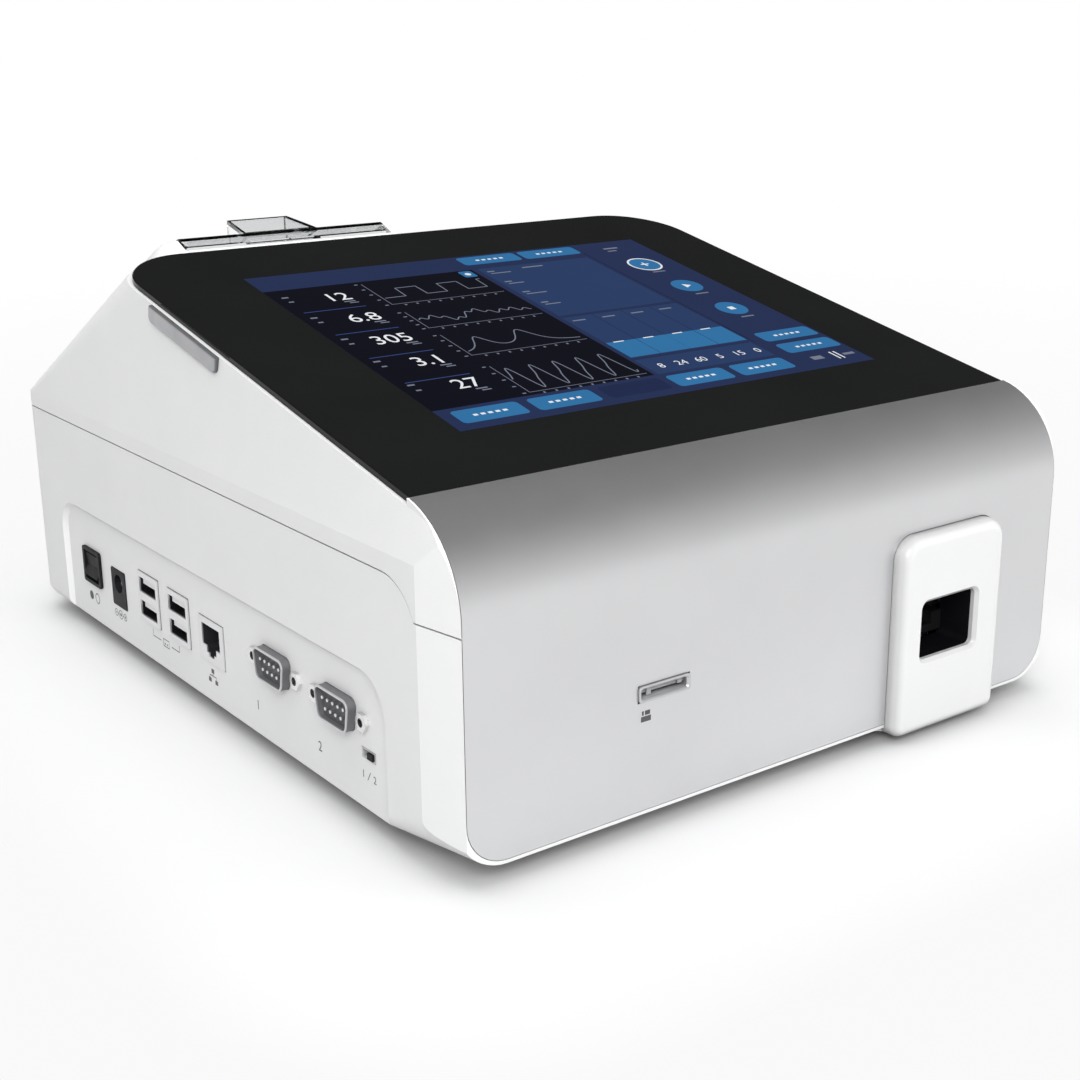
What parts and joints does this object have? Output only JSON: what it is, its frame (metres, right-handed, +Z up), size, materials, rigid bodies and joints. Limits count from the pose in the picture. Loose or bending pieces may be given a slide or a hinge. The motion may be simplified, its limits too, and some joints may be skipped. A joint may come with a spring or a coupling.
{
  "type": "immunofluorescence analyzer",
  "caption": "Benchtop immunofluorescence analyzer: wedge casing, sloping touch screen, sliding test-cassette carrier behind a front window, flip-cover label printer and side port panel.",
  "frame": {"origin": "middle of the footprint of the whole machine, on the bench under the rubber feet", "axes": "+X to the right of a user facing the front, +Y to the rear, +Z up"},
  "size_m": [0.2232, 0.2806, 0.1393],
  "materials": {
    "white_shell": "white moulded ABS, fine satin",
    "bezel_white": "glossy white moulded ABS",
    "silver_sheet": "silver metallic paint",
    "black_glass": "black-backed touch glass",
    "display_body": "display module",
    "zinc_sheet": "zinc-plated sheet",
    "clear_plastic": "clear polycarbonate",
    "lamp_strip": "grey diffusing strip",
    "bright_metal": "nickel-plated steel",
    "black_plastic": "black moulded plastic",
    "foot_rubber": "black rubber",
    "screw_steel": "zinc-plated steel",
    "board_green": "glass-epoxy circuit board",
    "board_parts": "electronic components",
    "white_insulator": "white insulator",
    "grey_insulator": "light grey insulator",
    "gold_contact": "gold-plated contacts",
    "rod_steel": "ground steel",
    "cast_alloy": "machined aluminium",
    "bronze_bush": "sintered bronze",
    "tray_black": "black acetal",
    "gear_acetal": "natural acetal",
    "motor_black": "black motor body",
    "optics_black": "black anodised aluminium",
    "lens_glass": "optical glass",
    "grey_plastic": "dark grey moulded plastic",
    "paper": "thermal label paper"
  },
  "bodies": {
    "casing": {"lower_shell": "white_shell", "upper_shell": "white_shell", "front_cover": "silver_sheet", "touch_glass": "black_glass", "lcd_panel": "display_body", "lcd_bracket": "zinc_sheet", "side_lens": "clear_plastic", "side_lamp": "lamp_strip", "cassette_bezel": "bezel_white", "cassette_throat": "black_plastic", "card_slot_frame": "bright_metal", "card_socket": "black_plastic", "rubber_feet": "foot_rubber", "case_screws": "screw_steel", "main_board": "board_green", "board_parts": "board_parts", "power_switch_body": "black_plastic", "dc_jack": "black_plastic", "dc_pin": "bright_metal", "usb_shells": "bright_metal", "usb_tongues": "white_insulator", "lan_jack": "bright_metal", "lan_contacts": "gold_contact", "serial_shells": "bright_metal", "serial_inserts": "grey_insulator", "serial_pins": "gold_contact", "jack_nuts": "bright_metal", "mode_switch_body": "bright_metal", "base_plate": "zinc_sheet", "guide_rods": "rod_steel", "rod_blocks": "black_plastic", "motor_bracket": "zinc_sheet", "carrier_motor": "motor_black", "optics_bridge": "cast_alloy", "optics_head": "optics_black", "optics_lens": "lens_glass", "printer_tub": "grey_plastic", "printer_frame": "zinc_sheet", "thermal_head": "cast_alloy", "tear_bar": "bright_metal", "idler_pin": "rod_steel", "printer_motor": "motor_black", "cover_pin": "rod_steel"},
    "carrier": {"carriage": "cast_alloy", "guide_bushes": "bronze_bush", "cassette_tray": "tray_black", "carrier_rack": "gear_acetal"},
    "pinion": {"drive_pinion": "gear_acetal", "drive_shaft": "rod_steel"},
    "cover": {"printer_cover": "clear_plastic"},
    "platen": {"platen_roller": "foot_rubber", "platen_shaft": "rod_steel", "platen_gear": "gear_acetal"},
    "idler": {"idler_gear": "gear_acetal"},
    "spindle": {"motor_gear": "bronze_bush", "motor_spindle": "rod_steel"},
    "roll": {"paper_roll": "paper", "paper_core": "grey_plastic"},
    "rocker": {"power_rocker": "black_plastic"},
    "mode": {"mode_slider": "black_plastic"}
  },
  "joints": [
    {"name": "carrier_slide", "type": "slide", "parent": "casing", "child": "carrier", "axis": [0, -1, 0], "range_m": [0, 0.065]},
    {"name": "pinion_spin", "type": "hinge", "parent": "casing", "child": "pinion", "pos_m": [0.01935, -0.0257, 0.027], "axis": [0, 0, 1], "range_deg": [-670, 5]},
    {"name": "cover_hinge", "type": "hinge", "parent": "casing", "child": "cover", "pos_m": [-0.0414, 0.11801, 0.1093], "axis": [-1, 0, 0], "range_deg": [0, 95]},
    {"name": "platen_spin", "type": "hinge", "parent": "casing", "child": "platen", "pos_m": [-0.0414, 0.07335, 0.12461], "axis": [1, 0, 0], "continuous": true},
    {"name": "idler_spin", "type": "hinge", "parent": "casing", "child": "idler", "pos_m": [-0.0764, 0.06612, 0.11428], "axis": [1, 0, 0], "continuous": true},
    {"name": "motor_spin", "type": "hinge", "parent": "casing", "child": "spindle", "pos_m": [-0.0744, 0.06425, 0.10365], "axis": [1, 0, 0], "continuous": true},
    {"name": "roll_spin", "type": "hinge", "parent": "casing", "child": "roll", "pos_m": [-0.0414, 0.09369, 0.09902], "axis": [1, 0, 0], "continuous": true},
    {"name": "power_rock", "type": "hinge", "parent": "casing", "child": "rocker", "pos_m": [-0.1068, 0.09125, 0.0257], "axis": [0, -1, 0], "range_deg": [0, 14]},
    {"name": "mode_slide", "type": "slide", "parent": "casing", "child": "mode", "axis": [0, 1, 0], "range_m": [0, 0.0022]}
  ],
  "couplings": [
    {"joint": "pinion_spin", "follows": "carrier_slide", "rad_per_m": -178.57},
    {"joint": "idler_spin", "follows": "platen_spin", "ratio": -0.75},
    {"joint": "motor_spin", "follows": "platen_spin", "ratio": 1.5}
  ]
}
